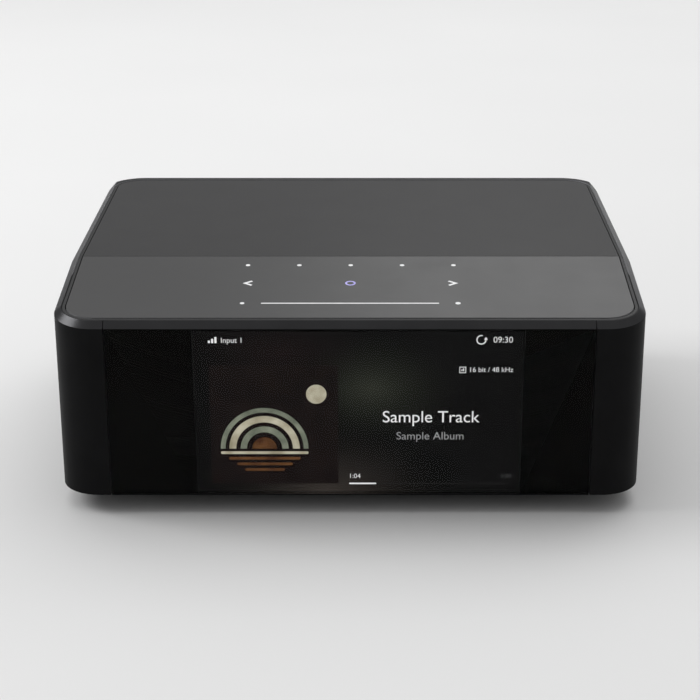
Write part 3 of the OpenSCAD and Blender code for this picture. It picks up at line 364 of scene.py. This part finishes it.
# Nodes whose edges are rounded a little, by the width in millimetres
EDGE_WIDTHS = (
    (0.07, ("front_fascia",)),
    (0.08, ("ethernet_shield", "usb_shell", "hdmi_shell")),
    (0.09, ("body_shell",)),
    (0.1, ("front_glass", "top_plate")),
    (0.14, ("control_glass",)),
    (0.15, ("optical_in_socket", "optical_out_socket", "phono_collars")),
    (0.2, ("xlr_left_socket", "xlr_right_socket", "trigger_jack")),
    (0.2, ("headphone_jack_left", "headphone_jack_right")),
    (0.25, ("rear_screws", "base_screws", "foot_screws")),
    (0.3, ("mains_inlet",)),
    (0.8, ("foot_front_left", "foot_front_right", "foot_rear_left", "foot_rear_right")),
)
ROUND_OVER = math.radians(32.0)
ONE_PLANE = math.radians(0.5)

# Nodes whose shading follows their broad faces, up to the rounded edges
BROAD_FACED = ("body_shell", "front_fascia")


def round_edges(piece, width):
    """Small rounded edges that catch the light, between flat faces that are made whole first."""
    weld = piece.modifiers.new("weld", "WELD")
    weld.merge_threshold = 0.000001
    planes = piece.modifiers.new("planes", "DECIMATE")
    planes.decimate_type = "DISSOLVE"
    planes.angle_limit = ONE_PLANE
    bevel = piece.modifiers.new("edges", "BEVEL")
    bevel.width = width * MM
    bevel.segments = 2
    bevel.limit_method = "ANGLE"
    bevel.angle_limit = ROUND_OVER
    bevel.use_clamp_overlap = False
    bevel.harden_normals = piece.name not in BROAD_FACED
    if piece.name in BROAD_FACED:
        normals = piece.modifiers.new("normals", "WEIGHTED_NORMAL")
        normals.weight = 100


for entry in frame["record"]["subparts"]:
    node = nodes[entry["node"]]
    node.material_slots[0].material = slot_materials[entry["material_slot"]]
for width, names in EDGE_WIDTHS:
    for name in names:
        round_edges(nodes[name], width)


# Flat shapes for signs, print and the display picture, drawn in millimetres

def arc_points(x, y, r, start, end, steps=32):
    """Points on an arc from start to end, both in degrees."""
    turns = [math.radians(start + (end - start) * i / steps) for i in range(steps + 1)]
    return [(x + r * math.cos(a), y + r * math.sin(a)) for a in turns]


def disc(x, y, r, steps=40):
    return [arc_points(x, y, r, 0.0, 360.0, steps)[:-1]]


def stroke(points, width, closed=False):
    """A line of even width through points, as quads."""
    count = len(points)
    sides = []
    for i in range(count):
        before = points[i - 1] if i > 0 or closed else points[i]
        after = points[(i + 1) % count] if i < count - 1 or closed else points[i]
        here = Vector(points[i])
        first = (here - Vector(before)).normalized() if before != points[i] else None
        second = (Vector(after) - here).normalized() if after != points[i] else None
        first = first or second
        second = second or first
        normal = Vector((-first.y - second.y, first.x + second.x)).normalized()
        reach = width / 2 / max(0.35, normal.dot(Vector((-first.y, first.x))))
        sides.append((here + normal * reach, here - normal * reach))
    quads = []
    for i in range(count if closed else count - 1):
        left, right = sides[i]
        next_left, next_right = sides[(i + 1) % count]
        quads.append([tuple(left), tuple(right), tuple(next_right), tuple(next_left)])
    return quads


def rounded(x0, y0, x1, y1, r, steps=8):
    """A rectangle with round corners."""
    left, right = x0 + r, x1 - r
    low, high = y0 + r, y1 - r
    corners = [(right, high, 0.0), (left, high, 90.0), (left, low, 180.0), (right, low, 270.0)]
    return [[p for x, y, a in corners for p in arc_points(x, y, r, a, a + 90.0, steps)]]


def wedge(x, y, r_in, r_out, start, end, steps=24):
    """Part of a ring, or of a disc where r_in is 0."""
    outer = arc_points(x, y, r_out, start, end, steps)
    if r_in <= 0.0:
        return [[(x, y)] + outer]
    inner = arc_points(x, y, r_in, start, end, steps)
    return [[outer[i], outer[i + 1], inner[i + 1], inner[i]] for i in range(steps)]


def face_matrix(origin, across, upward):
    """Turns millimetres across and upward on a face into the part's metres."""
    outward = across.cross(upward)
    matrix = Matrix((across, upward, outward)).transposed().to_4x4()
    matrix.translation = origin
    return matrix @ Matrix.Scale(MM, 4)


def add_piece(name, mesh, matrix, material):
    mesh.transform(matrix)
    mesh.materials.clear()
    mesh.materials.append(material)
    piece = bpy.data.objects.new(name, mesh)
    bpy.context.scene.collection.objects.link(piece)
    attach(piece, CHASSIS)
    return piece


def flat_piece(name, outlines, matrix, material, thick):
    """A thin closed plate from outlines."""
    shape = bmesh.new()
    for outline in outlines:
        shape.faces.new([shape.verts.new((x, y, 0.0)) for x, y in outline])
    bmesh.ops.remove_doubles(shape, verts=shape.verts, dist=0.0005)
    for face in shape.faces:
        if face.normal.z < 0.0:
            face.normal_flip()
    bmesh.ops.solidify(shape, geom=list(shape.faces), thickness=-thick)
    bmesh.ops.recalc_face_normals(shape, faces=shape.faces)
    mesh = bpy.data.meshes.new(name)
    shape.to_mesh(mesh)
    shape.free()
    return add_piece(name, mesh, matrix, material)


def text_piece(name, words, x, y, size, matrix, material, thick, align="CENTER"):
    """Generic lettering as a thin mesh."""
    curve = bpy.data.curves.new(name, "FONT")
    curve.body = words
    curve.size = size
    curve.align_x = align
    curve.align_y = "CENTER"
    curve.extrude = thick / 2
    curve.resolution_u = 6
    holder = bpy.data.objects.new(name + "_letters", curve)
    bpy.context.scene.collection.objects.link(holder)
    bpy.context.view_layer.update()
    mesh = bpy.data.meshes.new_from_object(holder.evaluated_get(bpy.context.evaluated_depsgraph_get()))
    bpy.data.objects.remove(holder)
    mesh.transform(Matrix.Translation((x, y, thick / 2)))
    return add_piece(name, mesh, matrix, material)


# Signs lit through the control glass, in millimetres across and up the slope from the crease

SIGN_THICK = 0.03
sign_face = face_matrix(CREASE, RIGHT, -DOWN_SLOPE)
white_sign = lit("sign_white", (0.8, 0.81, 0.82), (0.92, 0.92, 0.92), 1.0)
violet_sign = lit("sign_violet", (0.42, 0.4, 0.78), (0.54, 0.5, 0.9), 1.0)

PRESET_STEP = 20.0
PRESET_V = -8.7
PRESET_R = 0.9
ARROW_V = -25.2
ARROW_TIP = 40.2
ARROW_BACK = 37.5
ARROW_RISE = 1.9
ARROW_STROKE = 1.0
RING_R = 1.65
RING_STROKE = 0.75
SLIDER_V = -42.8
SLIDER_REACH = 33.2
SLIDER_HALF = 0.36
SLIDER_ROUND = 0.35
SLIDER_DOT = 40.2
QUIET_R = 0.85
LOUD_R = 1.0


def sign(name, outlines, material):
    return flat_piece(name, outlines, sign_face, material, SIGN_THICK)


dots = []
for i in range(-2, 3):
    dots += disc(i * PRESET_STEP, PRESET_V, PRESET_R)
sign("preset_dots", dots, white_sign)

arrows = []
for side in (-1, 1):
    tip = side * ARROW_TIP
    back = side * ARROW_BACK
    bend = [(back, ARROW_V + ARROW_RISE), (tip, ARROW_V), (back, ARROW_V - ARROW_RISE)]
    arrows += stroke(bend, ARROW_STROKE)
sign("skip_arrows", arrows, white_sign)

ring = stroke(disc(0.0, ARROW_V, RING_R)[0], RING_STROKE, closed=True)
sign("play_ring", ring, violet_sign)

slider = rounded(-SLIDER_REACH, SLIDER_V - SLIDER_HALF, SLIDER_REACH, SLIDER_V + SLIDER_HALF, SLIDER_ROUND)
slider += disc(-SLIDER_DOT, SLIDER_V, QUIET_R)
slider += disc(SLIDER_DOT, SLIDER_V, LOUD_R)
sign("volume_line", slider, white_sign)


# Picture on the display, in millimetres from the middle of the front and over the table

PICTURE_GAP = 0.06
PICTURE_THICK = 0.02
LAYER = 0.05
display_front = display_low.y - PICTURE_GAP * MM


def picture_face(layer):
    return face_matrix(Vector((0.0, display_front - layer * LAYER * MM, 0.0)), RIGHT, UP)


def picture_piece(name, outlines, layer, material):
    return flat_piece(name, outlines, picture_face(layer), material, PICTURE_THICK)


# Soft lights in the picture: middle across and up, reach across and up, strength, colour
GLOW_SPOTS = (
    ((-9.0, 8.0), (48.0, 30.0), 1.0, (0.036, 0.03, 0.026)),
    ((8.0, 50.0), (36.0, 24.0), 1.0, (0.024, 0.026, 0.019)),
    ((-26.0, 64.0), (44.0, 18.0), 0.8, (0.01, 0.006, 0.006)),
)


def glow(name):
    """A blurred dark picture: soft warm light low down, olive in the middle and a little red at the top."""
    material, tree, shader = node_tree(name)
    vector = place_nodes(tree)

    def spot(middle, reach, strength):
        mapping = tree.nodes.new("ShaderNodeMapping")
        mapping.vector_type = "TEXTURE"
        mapping.inputs["Location"].default_value = (middle[0] * MM, display_front, middle[1] * MM)
        mapping.inputs["Scale"].default_value = (reach[0] * MM, 1.0, reach[1] * MM)
        tree.links.new(vector, mapping.inputs["Vector"])
        gradient = tree.nodes.new("ShaderNodeTexGradient")
        gradient.gradient_type = "QUADRATIC_SPHERE"
        tree.links.new(mapping.outputs["Vector"], gradient.inputs["Vector"])
        return range_node(tree, gradient.outputs["Fac"], 0.0, strength, 0.0, 1.0)

    clouds = noise_node(tree, vector, 28.0, 1.0)
    colour = ramp_node(tree, clouds, [(0.2, grey(0.0012, EVEN)), (0.8, grey(0.0034, EVEN))])
    for middle, reach, strength, tone in GLOW_SPOTS:
        mix = tree.nodes.new("ShaderNodeMix")
        mix.data_type = "RGBA"
        mix.blend_type = "MIX"
        tree.links.new(spot(middle, reach, strength), mix.inputs["Factor"])
        tree.links.new(colour, mix.inputs["A"])
        mix.inputs["B"].default_value = (*tone, 1.0)
        colour = mix.outputs["Result"]
    tree.links.new(colour, shader.inputs["Emission Color"])
    shader.inputs["Base Color"].default_value = (0.002, 0.002, 0.002, 1.0)
    shader.inputs["Emission Strength"].default_value = 1.0
    shader.inputs["Specular IOR Level"].default_value = 0.0
    material.cycles.emission_sampling = "NONE"
    return material


white_text = lit("text_white", (0.72, 0.72, 0.73), (0.82, 0.82, 0.82), 1.0)
grey_text = lit("text_grey", (0.24, 0.24, 0.25), (0.3, 0.3, 0.3), 1.0)
dim_text = lit("text_dim", (0.05, 0.05, 0.05), (0.07, 0.07, 0.07), 1.0)
track_grey = lit("track_grey", (0.012, 0.0115, 0.011), (0.016, 0.0155, 0.015), 1.0)
cover_black = lit("cover_black", (0.004, 0.0025, 0.0025), (0.008, 0.005, 0.0045), 1.0, 120.0)
cover_cream = lit("cover_cream", (0.27, 0.24, 0.16), (0.5, 0.47, 0.36), 1.0, 160.0)
cover_sage = lit("cover_sage", (0.1, 0.115, 0.085), (0.22, 0.24, 0.18), 1.0, 160.0)
cover_amber = lit("cover_amber", (0.05, 0.018, 0.008), (0.13, 0.06, 0.022), 1.0, 160.0)

SCREEN_MARGIN = 0.1
screen_left = display_low.x / MM + SCREEN_MARGIN
screen_right = display_high.x / MM - SCREEN_MARGIN
screen_foot = display_low.z / MM + SCREEN_MARGIN
screen_head = display_high.z / MM - SCREEN_MARGIN
screen = [
    (screen_left, screen_foot),
    (screen_right, screen_foot),
    (screen_right, screen_head),
    (screen_left, screen_head),
]
picture_piece("picture_backdrop", [screen], 0, glow("picture_glow"))

COVER_X = -52.0
COVER_Z = 11.7
COVER_SIDE = 47.6
cover = rounded(COVER_X, COVER_Z, COVER_X + COVER_SIDE, COVER_Z + COVER_SIDE, 0.3, 2)
picture_piece("cover_field", cover, 1, cover_black)

# Plain geometry on the cover: arches over lines, and a disc beside them, in three colours
ARCH_X = COVER_X + COVER_SIDE * 0.42
ARCH_Z = COVER_Z + COVER_SIDE * 0.3
ARCHES = (("sage", 14.6, 16.4), ("cream", 10.6, 13.2), ("sage", 6.6, 9.0), ("amber", 0.0, 4.6))
CURVE_STEPS = 48
DISC_X = COVER_X + COVER_SIDE * 0.83
DISC_Z = COVER_Z + COVER_SIDE * 0.76
DISC_R = 3.8
LINE_TONES = ("cream", "amber", "amber", "amber")
LINE_REACH = 16.4
LINE_SHRINK = 3.0
LINE_DROP = 2.2
LINE_STEP = 2.3
LINE_HIGH = 1.1
LINE_ROUND = 0.5

shapes = {"cream": [], "sage": [], "amber": []}
for tone, r_in, r_out in ARCHES:
    shapes[tone] += wedge(ARCH_X, ARCH_Z, r_in, r_out, 0.0, 180.0, CURVE_STEPS)
shapes["cream"] += disc(DISC_X, DISC_Z, DISC_R, CURVE_STEPS)
for i, tone in enumerate(LINE_TONES):
    low = ARCH_Z - LINE_DROP - i * LINE_STEP
    reach = LINE_REACH - i * LINE_SHRINK
    shapes[tone] += rounded(ARCH_X - reach, low, ARCH_X + reach, low + LINE_HIGH, LINE_ROUND, 4)
picture_piece("cover_cream", shapes["cream"], 2, cover_cream)
picture_piece("cover_sage", shapes["sage"], 2, cover_sage)
picture_piece("cover_amber", shapes["amber"], 2, cover_amber)

# Words on the display: where they are held across and up, size, tone and which end is held
WORDS = (
    ("title_words", "Sample Track", 30.0, 38.6, 6.6, white_text, "CENTER"),
    ("album_words", "Sample Album", 29.9, 31.0, 4.4, grey_text, "CENTER"),
    ("time_words", "1:04", 1.7, 14.7, 2.6, white_text, "CENTER"),
    ("end_words", "5:20", 58.6, 14.7, 2.5, dim_text, "CENTER"),
    ("clock_words", "09:30", 56.2, 69.2, 3.3, white_text, "CENTER"),
    ("source_words", "Input 1", -47.4, 69.0, 2.9, white_text, "LEFT"),
    ("rate_words", "16 bit / 48 kHz", 60.2, 57.5, 2.7, white_text, "RIGHT"),
)
for name, text, x, z, size, material, align in WORDS:
    text_piece(name, text, x, z, size, picture_face(1), material, PICTURE_THICK, align)

TRACK_LEFT = -0.4
TRACK_RIGHT = 60.7
PLAYED_RIGHT = 9.8
picture_piece("progress_track", rounded(TRACK_LEFT, 11.5, TRACK_RIGHT, 11.9, 0.19, 4), 1, track_grey)
picture_piece("progress_line", rounded(TRACK_LEFT, 11.4, PLAYED_RIGHT, 12.0, 0.29, 4), 2, white_text)

SIGNAL_LEFT = -52.0
SIGNAL_FOOT = 68.0
SIGNAL_WIDE = 0.8
SIGNAL_STEP = 1.2
SIGNAL_TOPS = (69.0, 69.7, 70.4)
signal = []
for i, top in enumerate(SIGNAL_TOPS):
    left = SIGNAL_LEFT + i * SIGNAL_STEP
    signal += rounded(left, SIGNAL_FOOT, left + SIGNAL_WIDE, top, 0.2, 3)
picture_piece("signal_bars", signal, 1, white_text)

REPEAT_X = 48.2
REPEAT_Z = 69.3
REPEAT_R = 1.65
REPEAT_STROKE = 0.42
REPEAT_HEAD = [(49.1, 69.3), (50.6, 69.3), (49.85, 70.4)]
repeat = stroke(arc_points(REPEAT_X, REPEAT_Z, REPEAT_R, 75.0, 360.0, 28), REPEAT_STROKE)
picture_piece("repeat_sign", repeat + [REPEAT_HEAD], 1, white_text)

FRAME_CORNERS = [(40.5, 56.4), (42.7, 56.4), (42.7, 58.6), (40.5, 58.6)]
FRAME_STROKE = 0.25
quality = stroke(FRAME_CORNERS, FRAME_STROKE, closed=True)
quality += rounded(41.1, 57.0, 41.5, 57.7, 0.1, 2)
quality += rounded(41.7, 57.0, 42.1, 58.1, 0.1, 2)
picture_piece("quality_sign", quality, 1, white_text)


# Print on the back panel, in millimetres from the middle and over the table

PRINT_THICK = 0.02
PRINT_SIZE = 2.4
PRINTS = (
    ("print_lan", "LAN", -38.0, 34.0),
    ("print_in", "IN", 24.0, 32.0),
    ("print_out", "OUT", 42.0, 32.0),
    ("print_trigger", "12 V", 60.0, 30.0),
    ("print_line_left", "L", 12.6, 60.0),
    ("print_line_right", "R", 12.6, 42.0),
    ("print_sub", "SUB", 35.0, 60.0),
    ("print_coax", "COAX", 36.0, 42.0),
    ("print_balanced_right", "R", -58.0, 34.2),
    ("print_balanced_left", "L", -26.0, 34.2),
)
print_face = face_matrix(Vector((0.0, panel_back, 0.0)), -RIGHT, UP)
print_white = surface("print_white", grey(0.5), grey(0.62), (0.5, 0.6), grain=900.0, bump=0.0)
for name, text, x, z in PRINTS:
    text_piece(name, text, -x, z, PRINT_SIZE, print_face, print_white, PRINT_THICK)


# Studio: floor, light and camera

def floor_material():
    material, tree, shader = node_tree("floor_pale")
    vector = place_nodes(tree)
    soft = noise_node(tree, vector, 3.0, 2.0)
    colour = ramp_node(tree, soft, [(0.3, grey(0.78, EVEN)), (0.7, grey(0.8, EVEN))])
    tree.links.new(colour, shader.inputs["Base Color"])
    shader.inputs["Roughness"].default_value = 0.75
    shader.inputs["Specular IOR Level"].default_value = 0.15
    return material


FLOOR_HALF = 30.0
floor_corners = [(x * FLOOR_HALF, y * FLOOR_HALF, 0.0) for x, y in ((-1, -1), (1, -1), (1, 1), (-1, 1))]
floor_mesh = bpy.data.meshes.new("floor")
floor_mesh.from_pydata(floor_corners, [], [(0, 1, 2, 3)])
floor_mesh.materials.append(floor_material())
floor = bpy.data.objects.new("floor", floor_mesh)
bpy.context.scene.collection.objects.link(floor)

# Grey of the sky by the upward part of the direction
SKY_TONES = ((0.0, 0.2), (0.25, 0.33), (0.45, 0.4))

world = bpy.data.worlds.new("studio")
world.use_nodes = True
sky = world.node_tree
sky_place = sky.nodes.new("ShaderNodeTexCoord")
sky_height = height_of(sky, sky_place.outputs["Generated"])
sky_tone = ramp_node(sky, sky_height, [(at, grey(tone, EVEN)) for at, tone in SKY_TONES])
sky.links.new(sky_tone, sky.nodes["Background"].inputs["Color"])
bpy.context.scene.world = world

# Lamps turned to the middle of the part: place, width and height in metres, power in watts
MIDDLE = Vector((0.0, 0.0, 0.05))
LAMPS = (
    ("overhead", (0.0, 0.8, 2.1), 2.8, 2.0, 26.0),
    ("back_wide", (0.0, 1.68, 1.33), 3.4, 0.7, 1.9),
    ("back_right", (0.77, 1.5, 1.31), 1.87, 0.6, 4.6),
    ("left", (-1.37, 0.1, 1.2), 0.9, 0.8, 12.0),
    ("right_low", (1.35, 2.5, 0.25), 1.3, 0.4, 0.9),
)


def soft_box(name, place, width, height, power):
    lamp = bpy.data.lights.new(name, "AREA")
    lamp.shape = "RECTANGLE"
    lamp.size = width
    lamp.size_y = height
    lamp.energy = power
    holder = bpy.data.objects.new(name, lamp)
    holder.location = place
    holder.rotation_euler = (MIDDLE - Vector(place)).to_track_quat("-Z", "Y").to_euler()
    bpy.context.scene.collection.objects.link(holder)


for lamp_row in LAMPS:
    soft_box(*lamp_row)

# The camera as fitted to the photograph, in pixels, millimetres and degrees
PHOTO_SIDE = 700.0
FOCAL_PIXELS = 1765.44
SHIFT_PIXELS = -15.81
CAMERA_PLACE = (5.87, -701.18, 289.48)
CAMERA_PITCH = 20.25
SENSOR = 36.0
camera_data = bpy.data.cameras.new("camera")
camera_data.sensor_width = SENSOR
camera_data.lens = FOCAL_PIXELS * SENSOR / PHOTO_SIDE
camera_data.shift_x = SHIFT_PIXELS / PHOTO_SIDE
camera = bpy.data.objects.new("camera", camera_data)
camera.location = [value * MM for value in CAMERA_PLACE]
camera.rotation_euler = (math.radians(90.0 - CAMERA_PITCH), 0.0, 0.0)
bpy.context.scene.collection.objects.link(camera)
bpy.context.scene.camera = camera
bpy.context.scene.view_settings.view_transform = "Standard"

bpy.context.view_layer.update()
